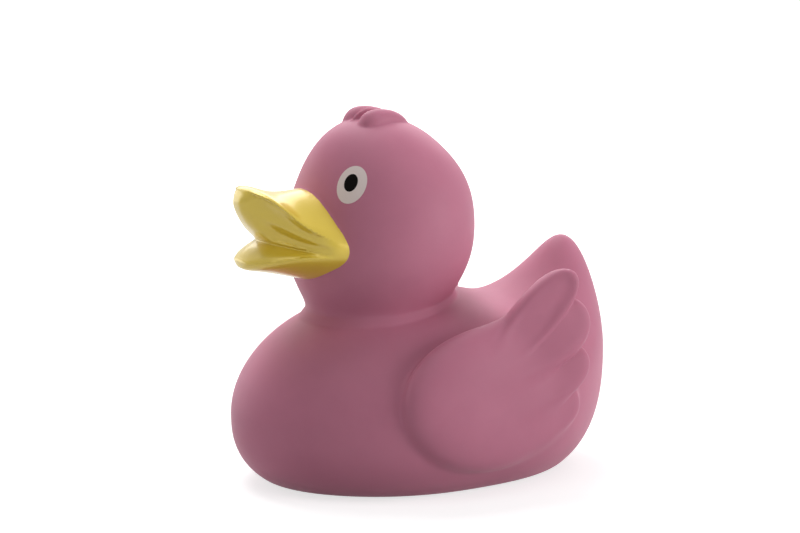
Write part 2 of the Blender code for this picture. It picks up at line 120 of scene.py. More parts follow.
@dataclass(frozen=True)
class FormCurve:
    """Natural cubic curve through a few chosen points.

    Attributes:
        places: Where the points lie, rising.
        values: The value at each place.
    """

    places: tuple[float, ...]
    values: tuple[float, ...]

    def bends(self) -> Array:
        """Work out the curve's bends, from the rule that its slope runs on smoothly through each point.

        Returns:
            The second slope at each point.
        """
        knots = np.array(self.places)
        heights = np.array(self.values)
        gaps = np.diff(knots)
        system = np.eye(len(knots))
        right_side = np.zeros(len(knots))
        inner = np.arange(1, len(knots) - 1)
        system[inner, inner - 1] = gaps[:-1]
        system[inner, inner] = 2.0 * (gaps[:-1] + gaps[1:])
        system[inner, inner + 1] = gaps[1:]
        right_side[inner] = 6.0 * np.diff(np.diff(heights) / gaps)
        return np.linalg.solve(system, right_side)

    def at(self, where: Array) -> Array:
        """Read the curve.

        Args:
            where: Places to read it at. Beyond its ends the end values hold.

        Returns:
            The value at each place.
        """
        knots = np.array(self.places)
        heights = np.array(self.values)
        bends = self.bends()
        place = np.clip(where, knots[0], knots[-1])
        span = np.clip(np.searchsorted(knots, place, side="right") - 1, 0, len(knots) - 2)
        gap = np.diff(knots)[span]
        before = (knots[span + 1] - place) / gap
        after = 1.0 - before
        bend = (before**3 - before) * bends[span] + (after**3 - after) * bends[span + 1]
        return before * heights[span] + after * heights[span + 1] + bend * gap**2 / 6.0


def curve_mm(places: tuple[float, ...], values: tuple[float, ...]) -> FormCurve:
    """A form curve whose places and values are given in millimetres."""
    return FormCurve(tuple(MM * place for place in places), tuple(MM * value for value in values))


class Form(ABC):
    """A rounded form in space, told by a level that is below nought inside it and nought on its skin."""

    feel: float = 0.05 * MM

    @abstractmethod
    def level(self, x: Array, y: Array, z: Array) -> Array:
        """Level at each point, in any unit."""

    def slope(self, x: Array, y: Array, z: Array, feel: float | None = None) -> tuple[Array, Array, Array]:
        """Slope of the level along X, Y and Z, felt a short way to each side.

        Args:
            x, y, z: The places.
            feel: How far it is felt, if not as far as the form's own feel.

        Returns:
            The three slopes.
        """
        step = feel or self.feel
        along_x = (self.level(x + step, y, z) - self.level(x - step, y, z)) / (2.0 * step)
        along_y = (self.level(x, y + step, z) - self.level(x, y - step, z)) / (2.0 * step)
        along_z = (self.level(x, y, z + step) - self.level(x, y, z - step)) / (2.0 * step)
        return along_x, along_y, along_z

    def distance(self, x: Array, y: Array, z: Array) -> Array:
        """Level divided by its steepness, which near the skin is the distance to it.

        Args:
            x, y, z: The places.

        Returns:
            The distance from each place, in metres.
        """
        along_x, along_y, along_z = self.slope(x, y, z)
        steepness = np.sqrt(along_x**2 + along_y**2 + along_z**2)
        return self.level(x, y, z) / np.maximum(steepness, LEAST_SLOPE)

    def outward(self, points: Array, feel: float | None = None) -> Array:
        """Direction straight out of the form at each point, which is its slope at length one.

        Args:
            points: Places on the skin, one in each row.
            feel: How far to each side the slope is felt. A wider feel evens out creases finer than a net.

        Returns:
            The directions.
        """
        slope = np.stack(self.slope(*points.T, feel), axis=1)
        return slope / np.linalg.norm(slope, axis=1, keepdims=True)

    def settle(self, points: Array, rounds: int = 4) -> Array:
        """Move points onto the skin: each round goes along the slope by level / steepness.

        Args:
            points: Places near the skin, one in each row.
            rounds: How often they are moved.

        Returns:
            The points on the skin.
        """
        for _ in range(rounds):
            slope = np.stack(self.slope(*points.T), axis=1)
            share = self.level(*points.T) / np.sum(slope**2, axis=1)
            points = points - share[:, None] * slope
        return points


class DistanceForm(Form):
    """A form whose level is a distance in metres already."""

    def distance(self, x: Array, y: Array, z: Array) -> Array:
        """The level itself."""
        return self.level(x, y, z)


@dataclass(frozen=True)
class Trunk(Form):
    """The boat-shaped body with its lifted tail.

    Each upright section across the body is an ellipse, (x / half width)^2 + (height over the girth / rise)^2,
    to which |place along the body|^fullness is added, so that the sections shrink to a rounded end. Below the
    girth the height has a higher power, so the lower body is full down to the base. The upper half narrows
    towards its top at the tail, and stops narrowing well above it. Half width, girth height and rises follow
    form curves.
    """

    front: float = -41.9 * MM
    rear: float = 42.1 * MM
    half_width: FormCurve = curve_mm((-42.1, -23.1, -1.1, 20.9, 41.9), (28.0, 30.6, 30.8, 28.4, 20.4))
    girth: FormCurve = curve_mm((-42.1, -21.1, -1.1, 18.9, 41.9), (14.3, 15.9, 17.5, 20.0, 26.0))
    rise: FormCurve = curve_mm(
        (-42.1, -26.1, -1.1, 8.9, 17.9, 23.9, 29.9, 34.9, 41.9),
        (22.9, 23.3, 22.0, 20.4, 18.2, 20.4, 26.8, 34.2, 39.6))
    keel: FormCurve = curve_mm((-42.1, -26.1, -1.1, 20.9, 41.9), (21.4, 21.1, 23.3, 25.0, 29.7))
    keel_fullness: float = 2.5
    narrowing: FormCurve = FormCurve(
        (-42.1 * MM, -1.1 * MM, 10.5 * MM, 21.0 * MM, 27.0 * MM, 33.7 * MM, 42.1 * MM),
        (0.0, 0.0, 0.05, 0.45, 1.0, 1.6, 2.0))
    front_fullness: float = 2.4
    rear_fullness: float = 3.8
    narrowest: float = 1.5

    def level(self, x: Array, y: Array, z: Array) -> Array:
        """Level of the body without its flat base.

        Args:
            x, y, z: The places.

        Returns:
            The level at each place.
        """
        middle = 0.5 * (self.front + self.rear)
        share = (y - middle) / (0.5 * (self.rear - self.front))
        height = z - self.girth.at(y)
        rise = self.rise.at(y)
        up = np.clip(height / rise, 0.0, self.narrowest)
        across = x * (1.0 + self.narrowing.at(y) * up**2) / self.half_width.at(y)
        tall = np.where(height > 0.0, (height / rise) ** 2,
                        np.abs(height / self.keel.at(y)) ** self.keel_fullness)
        fullness = np.where(share < 0.0, self.front_fullness, self.rear_fullness)
        return across**2 + tall + np.abs(share) ** fullness - 1.0


@dataclass(frozen=True)
class Head(Form):
    """The neck and head: round level sections whose radius and middle follow form curves in height.

    The level is (x / radius)^2 + ((y - middle) / radius)^2, to which a high power of the height over the
    head's middle is added, so that the crown and the neck's foot close in a dome.
    """

    middle_height: float = 52.5 * MM
    half_height: float = 24.0 * MM
    foot_depth: float = 26.0 * MM
    radius: FormCurve = curve_mm(
        (26.0, 30.0, 33.5, 36.5, 40.0, 46.0, 53.0, 60.0, 67.0, 72.0, 76.5),
        (18.6, 17.2, 16.0, 15.1, 16.3, 18.9, 19.75, 18.8, 16.35, 14.3, 13.0))
    middle: FormCurve = curve_mm(
        (30.0, 38.0, 46.0, 55.0, 65.0, 72.0, 77.0), (-10.2, -10.35, -9.85, -9.3, -9.2, -10.2, -10.9))
    crown_fullness: float = 5.0
    foot_fullness: float = 8.0

    def level(self, x: Array, y: Array, z: Array) -> Array:
        """Level of the neck and head.

        Args:
            x, y, z: The places.

        Returns:
            The level at each place.
        """
        radius = self.radius.at(z)
        over = z - self.middle_height
        close = np.where(over > 0.0, np.abs(over / self.half_height) ** self.crown_fullness,
                         np.abs(over / self.foot_depth) ** self.foot_fullness)
        return (x / radius) ** 2 + ((y - self.middle.at(z)) / radius) ** 2 + close - 1.0


@dataclass(frozen=True)
class Bill(DistanceForm):
    """The open, upturned bill.

    Seen from above its outline is a rounded oblong, |x / half width|^p + |forward / reach|^p = 1. Over it the
    top swells from the upper ridge to the crown, and under it the chin from the lower lip. Between ridge and
    lip the side is cut in to the crease of the mouth. The upper jaw bulges at its front. On its sides it is
    coved under the ridge, and a channel runs over its lip. The lower jaw keeps a slightly smaller share of
    the outline and curls in to the crease. Inset draws every face in evenly.
    """

    back_of_axis: float = -9.1 * MM
    reach: float = 33.4 * MM
    half_width: float = 15.8 * MM
    grip: float = 6.0 * MM
    roundness: float = 2.3
    ridge: FormCurve = curve_mm(
        (8.0, 13.3, 16.4, 20.0, 23.9, 28.0, 32.0), (50.4, 51.0, 52.6, 54.4, 56.9, 60.7, 63.0))
    crown: FormCurve = curve_mm(
        (8.0, 18.3, 22.0, 26.0, 29.0, 31.0, 33.0), (64.0, 62.3, 62.0, 62.4, 63.3, 63.6, 63.2))
    crease: FormCurve = curve_mm((8.0, 16.6, 21.0, 29.0, 34.0), (50.0, 50.4, 50.9, 52.5, 53.2))
    lip: FormCurve = curve_mm((8.0, 16.0, 22.0, 28.0, 32.0), (48.8, 49.6, 50.0, 49.1, 48.4))
    chin: FormCurve = curve_mm((8.0, 16.0, 21.4, 26.8, 32.5), (42.6, 43.2, 44.4, 45.7, 46.7))
    mouth_depth: float = 0.175
    corner: float = 16.4 * MM
    full_depth: float = 24.0 * MM
    bulge: float = 2.6
    lower_curl: float = 0.9
    lower_share: float = 0.985
    crease_fillet: float = 0.045
    cove: float = 0.56
    cove_height: float = 0.10
    undercut: float = 8.0
    cove_starts: float = 1.2 * MM
    cove_full: float = 7.5 * MM
    channel_depth: float = 0.06
    channel_starts: float = 3.4 * MM
    channel_full: float = 6.4 * MM
    channel_top: Span = (0.42, 0.68)
    channel_foot: Span = (0.96, 0.80)
    nearest_tip: float = 0.97
    swell_limit: float = 1.3
    ridge_rounding: FormCurve = curve_mm((8.0, 15.0, 21.0, 26.0, 33.0), (3.3, 2.2, 1.2, 1.4, 3.7))
    lip_rounding: FormCurve = curve_mm((8.0, 18.0, 32.5), (3.6, 2.6, 1.8))
    inset: float = 0.0

    def outline(self, x: Array, forward: Array) -> Array:
        """Share of the outline that each point seen from above reaches.

        Args:
            x: Places along X.
            forward: Places ahead of the head's axis.

        Returns:
            The share, one being the edge.
        """
        ahead = np.clip(forward, 0.0, None) / self.reach
        behind = np.clip(-forward, 0.0, None) / self.grip
        total = (np.abs(x) / self.half_width) ** self.roundness + ahead**self.roundness
        return (total + behind**self.roundness) ** (1.0 / self.roundness)

    def rim(self, x: Array, forward: Array, z: Array) -> Array:
        """Share of the outline that the side keeps at each height, after the mouth and its channels.

        Args:
            x: Places along X.
            forward: Places ahead of the head's axis.
            z: Heights.

        Returns:
            One at the ridge, least at the crease of the mouth, whose bottom has a fillet.
        """
        ridge = self.ridge.at(forward)
        crease = self.crease.at(forward)
        opened = ease(forward, self.corner, self.full_depth)
        from_ridge = np.clip((ridge - z) / (ridge - crease), 0.0, 1.0)
        lip = self.lip.at(forward)
        from_lip = np.clip((z - lip) / (crease - lip), 0.0, 1.0)
        side = ease(np.abs(x), self.cove_starts, self.cove_full)
        coved = (self.cove * (1.0 - np.exp(-from_ridge / self.cove_height))
                 + (1.0 - self.cove) * from_ridge**self.undercut)
        channel = (self.channel_depth * ease(np.abs(x), self.channel_starts, self.channel_full)
                   * ease(from_ridge, *self.channel_top) * ease(from_ridge, *self.channel_foot))
        upper = self.mouth_depth * (side * coved + (1.0 - side) * from_ridge**self.bulge) + channel
        lower = (1.0 - self.lower_share
                 + (self.mouth_depth - 1.0 + self.lower_share) * from_lip**self.lower_curl)
        return 1.0 - opened * soft_union(upper, lower, self.crease_fillet)

    def faces(self, x: Array, y: Array, z: Array) -> tuple[Array, Array, Array]:
        """Levels of the bill's faces.

        The swell is the share of the crown's height that is left at each point, one on the middle line.

        Args:
            x, y, z: The places.

        Returns:
            The levels of its top, its chin and its side.
        """
        forward = self.back_of_axis - y
        out = self.outline(x, forward)
        on_middle_line = np.clip(np.abs(forward) / self.reach, 0.0, self.nearest_tip) ** 2
        swell = (1.0 - np.clip(out, 0.0, self.swell_limit) ** 2) / (1.0 - on_middle_line)
        ridge = self.ridge.at(forward)
        top = z - (ridge + (self.crown.at(forward) - ridge) * swell)
        lip = self.lip.at(forward)
        under = lip - (lip - self.chin.at(forward)) * swell - z
        return top, under, out - self.rim(x, forward, z)

    def level(self, x: Array, y: Array, z: Array) -> Array:
        """Distance to the bill: each face's level over its own steepness, with the edges rounded.

        Args:
            x, y, z: The places.

        Returns:
            The distance from each place.
        """
        here = self.faces(x, y, z)
        steep = [np.zeros_like(here[0]) for _ in here]
        step = self.feel
        for shift in np.eye(3) * step:
            there = self.faces(x + shift[0], y + shift[1], z + shift[2])
            back = self.faces(x - shift[0], y - shift[1], z - shift[2])
            steep = [total + ((a - b) / (2.0 * step)) ** 2 for total, a, b in zip(steep, there, back)]
        top, under, side = [face / np.maximum(np.sqrt(total), LEAST_FACE_SLOPE)
                            for face, total in zip(here, steep)]
        forward = self.back_of_axis - y
        upper = soft_overlap(top, side, self.ridge_rounding.at(forward))
        return soft_overlap(upper, under, self.lip_rounding.at(forward)) + self.inset


@dataclass(frozen=True)
class Oval(Form):
    """An oval lobe that may taper along its length and curl towards its face.

    With u, v and w the places along, across and out of the face, each over its half size, and
    r = |u|^squareness + (v / (1 - taper u))^2, the level is
    r^edge + ((w - curl u^2 + dish) / (1 - taper u))^2 - 1, where curl and dish are over the half thickness.
    The dish is a smooth hollow towards the far end of the face, which leaves a rim round it. It lies a little
    to one side, so the rim is widest along the other. It is deepest dish_ahead along and dish_aside across,
    and ends dish_fade behind that. The taper stops at end. Edge makes the edge fuller where it is over one.
    """

    centre: Point
    along: Point
    across: Point
    face: Point
    sizes: Point
    squareness: float = 2.0
    curl: float = 0.0
    taper: float = 0.0
    edge: float = 1.0
    dish: float = 0.0
    dish_ahead: float = 0.45
    dish_fade: float = 1.0
    dish_aside: float = 0.2
    end: float = 1.5

    def level(self, x: Array, y: Array, z: Array) -> Array:
        """Level of the lobe.

        Args:
            x, y, z: The places.

        Returns:
            The level at each place.
        """
        place = [x - self.centre[0], y - self.centre[1], z - self.centre[2]]
        u, v, w = [sum(p * a for p, a in zip(place, axis)) / size
                   for axis, size in zip((self.along, self.across, self.face), self.sizes)]
        narrow = 1.0 - self.taper * np.clip(u, -self.end, self.end)
        length = np.abs(u) ** self.squareness
        beyond = u - self.dish_ahead
        ahead = np.where(beyond > 0.0, np.abs(beyond / (1.0 - self.dish_ahead)) ** self.squareness,
                         (beyond / self.dish_fade) ** 2)
        hollow = self.dish * ease(ahead + (v - self.dish_aside) ** 2, 1.0, 0.0)
        w = w + (hollow - self.curl * u**2) / self.sizes[2]
        return (length + (v / narrow) ** 2) ** self.edge + (w / narrow) ** 2 - 1.0


def wing_lobe(centre: Point, rise: float, flare: float, lean: float, sizes: Point,
              dish: float = 0.0) -> Oval:
    """Set up a lobe of the wing that points back.

    Args:
        centre: Its middle, in millimetres.
        rise: Slope of its length, in degrees.
        flare: How far its rear end turns out from the body, in degrees.
        lean: How far its face turns up, in degrees.
        sizes: Half its length, width and thickness, in millimetres.
        dish: How deep its face is hollowed, in millimetres. A hollowed lobe is squarer and has a fuller edge.

    Returns:
        The lobe.
    """
    up, out, tip = np.radians((rise, flare, lean))
    along = np.array([np.sin(out), np.cos(out) * np.cos(up), np.cos(out) * np.sin(up)])
    face = unit(np.cross(along, (0.0, -np.sin(up), np.cos(up))))
    across = np.cross(face, along)
    squareness, edge = FEATHER_FULLNESS if dish else SHOULDER_FULLNESS
    return Oval(tuple(MM * place for place in centre), tuple(along),
                tuple(across * np.cos(tip) - face * np.sin(tip)),
                tuple(face * np.cos(tip) + across * np.sin(tip)),
                tuple(MM * size for size in sizes), squareness, edge=edge, dish=MM * dish)


@dataclass(frozen=True)
class Wings(DistanceForm):
    """The raised wings, one on each side.

    A broad shoulder runs out in four feather tips that fan out behind it, each over the next one down.
    """

    shoulder: Oval = wing_lobe((26.8, 1.6, 20.4), 1.0, -6.0, 3.5, (20.4, 14.8, 5.7))
    feathers: tuple[Oval, ...] = (
        wing_lobe((27.6, 8.8, 33.6), 44.5, 3.0, 3.0, (17.0, 4.7, 3.1), 1.7),
        wing_lobe((27.4, 7.3, 29.8), 24.0, 3.0, 10.0, (18.3, 7.5, 3.6), 1.0),
        wing_lobe((27.2, 7.8, 20.9), 23.0, 3.0, 10.0, (18.0, 6.3, 3.6), 0.9),
        wing_lobe((26.0, 15.4, 16.0), 32.0, 0.0, 2.0, (8.4, 5.6, 3.2), 0.6),
    )
    between_feathers: float = 0.3 * MM
    to_shoulder: float = 1.8 * MM

    def level(self, x: Array, y: Array, z: Array) -> Array:
        """Distance to the wing on either side.

        Args:
            x, y, z: The places.

        Returns:
            The distance from each place.
        """
        side = np.abs(x)
        fan = self.feathers[0].distance(side, y, z)
        for feather in self.feathers[1:]:
            fan = soft_union(fan, feather.distance(side, y, z), self.between_feathers)
        return soft_union(self.shoulder.distance(side, y, z), fan, self.to_shoulder)


@dataclass(frozen=True)
class Crest(DistanceForm):
    """Three swept curls on the crown: one on each side and a thin one between them."""

    side_curl: Oval = Oval(
        (3.2 * MM, -10.2 * MM, 75.1 * MM), tuple(unit((-0.12, 1.0, 0.04))), tuple(unit((1.0, 0.12, -0.18))),
        tuple(unit((0.18, -0.04, 1.0))), (6.2 * MM, 2.4 * MM, 3.2 * MM), 3.4, -1.3 * MM, 0.34)
    middle_curl: Oval = Oval(
        (0.0, -11.3 * MM, 75.9 * MM), (0.0, 1.0, 0.0), (1.0, 0.0, 0.0), (0.0, 0.0, 1.0),
        (5.0 * MM, 0.8 * MM, 2.4 * MM), 2.0, -1.2 * MM, 0.2)
    between_curls: float = 0.3 * MM

    def level(self, x: Array, y: Array, z: Array) -> Array:
        """Distance to the three curls."""
        sides = self.side_curl.distance(np.abs(x), y, z)
        return soft_union(sides, self.middle_curl.distance(x, y, z), self.between_curls)


@dataclass(frozen=True)
class Vent(DistanceForm):
    """The round vent that the skin was drawn off its former through, drilled up into the flat base."""

    radius: float = 2.0 * MM
    place: float = 6.0 * MM
    depth: float = 9.0 * MM

    def level(self, x: Array, y: Array, z: Array) -> Array:
        """Distance to the drilled hole, an upright cylinder with a flat end."""
        return np.maximum(np.hypot(x, y - self.place) - self.radius, z - self.depth)


@dataclass(frozen=True)
class Moulding(DistanceForm):
    """The whole duck: body, wings, head, bill and crest run together, on a flat base with a vent."""

    trunk: Trunk = Trunk()
    wings: Wings = Wings()
    head: Head = Head()
    bill: Bill = Bill()
    crest: Crest = Crest()
    vent: Vent = Vent()
    wing_fillet: float = 1.1 * MM
    base_edge: float = 1.6 * MM
    neck_fillet: float = 1.2 * MM
    bead_lift: float = 0.1 * MM
    bead_radius: float = 0.6 * MM
    bead_fillet: float = 0.9 * MM
    bill_fillet: float = 0.9 * MM
    crest_fillet: float = 0.35 * MM
    vent_edge: float = 0.4 * MM

    def level(self, x: Array, y: Array, z: Array) -> Array:
        """Distance to the moulding.

        The bead at the neck's foot is a tube round the line where head and body meet: the length of the two
        distances taken together, less its radius.

        Args:
            x, y, z: The places.

        Returns:
            The distance from each place.
        """
        winged = soft_union(self.trunk.distance(x, y, z), self.wings.distance(x, y, z), self.wing_fillet)
        standing = soft_overlap(winged, -z, self.base_edge)
        head = self.head.distance(x, y, z)
        whole = soft_union(standing, head, self.neck_fillet)
        bead = np.hypot(standing - self.bead_lift, head - self.bead_lift) - self.bead_radius
        whole = soft_union(whole, bead, self.bead_fillet)
        whole = soft_union(whole, self.bill.distance(x, y, z), self.bill_fillet)
        whole = soft_union(whole, self.crest.distance(x, y, z), self.crest_fillet)
        return soft_overlap(whole, -self.vent.distance(x, y, z), self.vent_edge)


def cube_corners(grid: Array) -> Array:
    """Gather the corners of every cube of a grid.

    Args:
        grid: Values at the corners.

    Returns:
        The eight values of each cube, along a new first axis.
    """
    size = np.array(grid.shape) - 1
    return np.stack([grid[a:size[0] + a, b:size[1] + b, c:size[2] + c]
                     for a, b, c in product((0, 1), repeat=3)])


@dataclass(frozen=True)
class SkinNet:
    """A closed net of four-sided faces laid over a form that runs together from many lobes.

    A form with such fillets isn't a function of two parameters, so it is netted in space. Space is divided
    into cubes. Where the skin passes through a cube, one point is set at the mean of the places where it
    crosses the cube's edges, and round every crossed edge the points of its four cubes make one face. The
    points are then evened out and settled on the skin along its slope.

    Attributes:
        form: The form, which is the same on both sides of X = 0.
        low: Lowest corner of the space.
        high: Highest corner of the space.
        cube: Length of a cube's edge.
        rounds: How often the points are evened out.
        last_rounds: How often they are settled on the form in the end.
        block: Cubes along the edge of a block, the larger cube that is looked at first.
        wary: How much further than need be the skin is looked for round a block.
    """

    form: Form
    low: Point
    high: Point
    cube: float
    rounds: int = 4
    last_rounds: int = 2
    block: int = 4
    wary: float = 1.2

    def ticks(self, start: float, end: float) -> Array:
        """Corners of whole blocks of cubes along one axis, from start to past the end."""
        blocks = math.ceil((end - start) / (self.block * self.cube))
        return start + self.cube * np.arange(self.block * blocks + 1)

    def near_skin(self, coarse: Array) -> Array:
        """Corners of the cubes in those blocks that the skin may pass through.

        A block is kept where one of its corners lies within half its diagonal of the skin, taken somewhat
        larger to be wary, or where its corners lie on both sides.

        Args:
            coarse: Distances at the blocks' corners.

        Returns:
            Whether each corner of the cubes is kept.
        """
        corners = cube_corners(coarse)
        reach = self.wary * 0.5 * math.sqrt(3.0) * self.block * self.cube
        passed = corners.min(axis=0) * corners.max(axis=0) < 0.0
        kept = np.argwhere((np.abs(corners).min(axis=0) < reach) | passed)
        fine = np.zeros((np.array(coarse.shape) - 1) * self.block + 1, bool)
        for step in product(range(self.block + 1), repeat=3):
            fine[tuple((self.block * kept + step).T)] = True
        return fine

    def levels(self) -> tuple[Array, Array]:
        """Distances at the cubes' corners, worked out near the skin for X > 0 and mirrored.

        Away from the skin a corner keeps the distance of its block's first corner, whose sign is its own.

        Returns:
            The distances, and the corner that the first of them belongs to.
        """
        ticks = (self.ticks(0.5 * self.cube, self.high[0]), self.ticks(self.low[1], self.high[1]),
                 self.ticks(self.low[2], self.high[2]))
        coarse = self.form.distance(*np.meshgrid(*(tick[::self.block] for tick in ticks), indexing="ij"))
        half = coarse[:-1, :-1, :-1]
        for axis in range(3):
            half = np.repeat(half, self.block, axis=axis)
        half = np.pad(half, (0, 1), mode="edge")
        near = np.nonzero(self.near_skin(coarse))
        half[near] = self.form.distance(*(tick[place] for tick, place in zip(ticks, near)))
        return np.concatenate((half[::-1], half)), np.array((-ticks[0][-1], ticks[1][0], ticks[2][0]))

    def points(self, whole: Array, cubes: Array) -> Array:
        """Mean crossing point of each cube, in cubes from the first corner.

        On an edge whose ends are at distances a and b the skin crosses at the share a / (a - b).

        Args:
            whole: Distances at the corners.
            cubes: Number of each crossed cube along X, Y and Z.

        Returns:
            One point for each cube.
        """
        total = np.zeros(cubes.shape)
        hits = np.zeros(len(cubes))
        for axis, first, second in product(range(3), (0, 1), (0, 1)):
            start = np.zeros(3, int)
            start[(axis + 1) % 3] = first
            start[(axis + 2) % 3] = second
            along = np.eye(3, dtype=int)[axis]
            here = whole[tuple((cubes + start).T)]
            there = whole[tuple((cubes + start + along).T)]
            crossed = (here < 0.0) != (there < 0.0)
            share = here / np.where(crossed, here - there, 1.0)
            total += crossed[:, None] * (start + share[:, None] * along)
            hits += crossed
        return cubes + total / hits[:, None]

    def faces(self, inside: Array, number: Array) -> Array:
        """Face round each crossed edge, turned so that it looks out of the form.

        Args:
            inside: Whether each corner lies in the form.
            number: Number of each cube's point.

        Returns:
            The four points of each face.
        """
        found = []
        for axis in range(3):
            turn = (axis, (axis + 1) % 3, (axis + 2) % 3)
            corner = np.transpose(inside, turn)[:, 1:-1, 1:-1]
            point = np.transpose(number, turn)
            for leaving in (True, False):
                edges = np.argwhere((corner[:-1] == leaving) & (corner[1:] != leaving))
                ring = np.array(((0, 0, 0), (0, 1, 0), (0, 1, 1), (0, 0, 1)))
                places = edges[:, None, :] + (ring if leaving else ring[::-1])
                found.append(point[places[..., 0], places[..., 1], places[..., 2]])
        return np.concatenate(found)

    def evened(self, points: Array, faces: Array) -> Array:
        """Move each point half way to the mean of its neighbours.

        Args:
            points: The points.
            faces: The four points of each face.

        Returns:
            The moved points.
        """
        after = np.roll(faces, -1, axis=1).ravel()
        start = np.concatenate((faces.ravel(), after))
        end = np.concatenate((after, faces.ravel()))
        mean = np.stack([np.bincount(start, points[end, axis]) for axis in range(3)], axis=1)
        return 0.5 * (points + mean / np.bincount(start)[:, None])

    def settled(self, points: Array, twin: Array, rounds: int) -> Array:
        """Settle the points of X >= 0 on the form and give their twins the mirrored places.

        Args:
            points: The points.
            twin: Number of the point that mirrors each point in X = 0.
            rounds: How often the points are moved.

        Returns:
            The points on the form.
        """
        right = np.flatnonzero(np.arange(len(points)) >= twin)
        moved = self.form.settle(points[right], rounds)
        points = points.copy()
        points[twin[right]] = moved * (-1.0, 1.0, 1.0)
        points[right] = moved
        return points

    def build(self) -> tuple[Array, Array]:
        """Net the form.

        Returns:
            The points and the four-sided faces.
        """
        whole, origin = self.levels()
        inside = whole < 0.0
        corners = cube_corners(inside)
        crossed = corners.any(axis=0) & ~corners.all(axis=0)
        cubes = np.argwhere(crossed)
        number = np.full(crossed.shape, -1)
        number[crossed] = np.arange(len(cubes))
        points = origin + self.cube * self.points(whole, cubes)
        faces = self.faces(inside, number)
        twin = number[::-1][crossed]
        for _ in range(self.rounds):
            points = self.settled(self.evened(points, faces), twin, 1)
        return self.settled(points, twin, self.last_rounds), faces


def capped_rings(rings: Array) -> tuple[Array, list[list[int]]]:
    """Close a stack of rings into a skin, with each end drawn together in one point.

    Args:
        rings: Points by ring, by place round the ring and by axis. The first and the last ring are each
            drawn to their mean.

    Returns:
        The points and the faces, which look out where the rings turn left as they are stacked towards you.
    """
    inner = rings[1:-1]
    count, around = inner.shape[:2]
    points = np.concatenate((inner.reshape(-1, 3), rings[:1].mean(axis=1), rings[-1:].mean(axis=1)))
    number = np.arange(count * around).reshape(count, around)
    after = np.roll(number, -1, axis=1)
    quads = np.stack((number[:-1], after[:-1], after[1:], number[1:]), axis=-1).reshape(-1, 4)
    first = np.full(around, count * around)
    start = np.stack((first, after[0], number[0]), axis=1)
    end = np.stack((first + 1, number[-1], after[-1]), axis=1)
    return points, quads.tolist() + start.tolist() + end.tolist()


def make_piece(name: str, points: Array, faces: Array | list[list[int]], normals: Array) -> Piece:
    """Make a smooth piece whose place is in its mesh.

    Args:
        name: Name of the piece.
        points: Its points.
        faces: The points of each face.
        normals: Direction out of the true form at each point, which the shading follows.

    Returns:
        The object.
    """
    mesh = bpy.data.meshes.new(name)
    mesh.from_pydata(points, [], faces)
    mesh.update()
    mesh.shade_smooth()
    mesh.normals_split_custom_set_from_vertices(normals)
    piece = bpy.data.objects.new(name, mesh)
    bpy.context.scene.collection.objects.link(piece)
    return piece


def net_piece(name: str, form: Form, box: tuple[Point, Point], margin: float, cube: float) -> Piece:
    """Net a form and shade the net by the form's own slope.

    Args:
        name: Name of the piece.
        form: The form.
        box: Lowest and highest corner of what is netted.
        margin: Space that the net leaves round that.
        cube: Cube of the net.

    Returns:
        The object.
    """
    low, high = [tuple(value + sign * margin for value in corner) for sign, corner in zip((-1.0, 1.0), box)]
    points, faces = SkinNet(form, low, high, cube).build()
    return make_piece(name, points, faces, form.outward(points, NORMAL_FEEL))


class NodeSheet:
    """A node tree with short calls for adding nodes and joining them."""

    def __init__(self, tree: bpy.types.NodeTree) -> None:
        """Start with an empty tree."""
        self.tree = tree
        tree.nodes.clear()

    def add(self, kind: str, inputs: dict[str | int, object] | None = None,
            **settings: object) -> bpy.types.Node:
        """Add a node.

        Args:
            kind: Its kind.
            inputs: What its inputs take: a value, or the output that is joined to it.
            settings: Its other settings, which are made first.

        Returns:
            The node.
        """
        node = self.tree.nodes.new(kind)
        for name, value in settings.items():
            setattr(node, name, value)
        for name, value in (inputs or {}).items():
            if isinstance(value, Socket):
                self.tree.links.new(value, node.inputs[name])
            else:
                node.inputs[name].default_value = value
        return node

    def maths(self, operation: str, *values: Socket) -> Socket:
        """Output of a sum of that kind on these values."""
        return self.add("ShaderNodeMath", dict(enumerate(values)), operation=operation).outputs[0]

    def noise(self, place: Socket, scale: float, detail: float, rough: float) -> Socket:
        """Output of noise on that place, with its scale, detail and roughness."""
        inputs = {"Vector": place, "Scale": scale, "Detail": detail, "Roughness": rough}
        return self.add("ShaderNodeTexNoise", inputs).outputs["Fac"]

    def span(self, value: Socket, source: Span, target: Span) -> Socket:
        """Bring a value from one range into another, smoothly at both ends.

        Args:
            value: The value.
            source: Range that it comes in.
            target: Range that it leaves in.

        Returns:
            The output.
        """
        inputs = dict(zip(("Value", "From Min", "From Max", "To Min", "To Max"), (value, *source, *target)))
        return self.add("ShaderNodeMapRange", inputs, interpolation_type="SMOOTHSTEP").outputs["Result"]


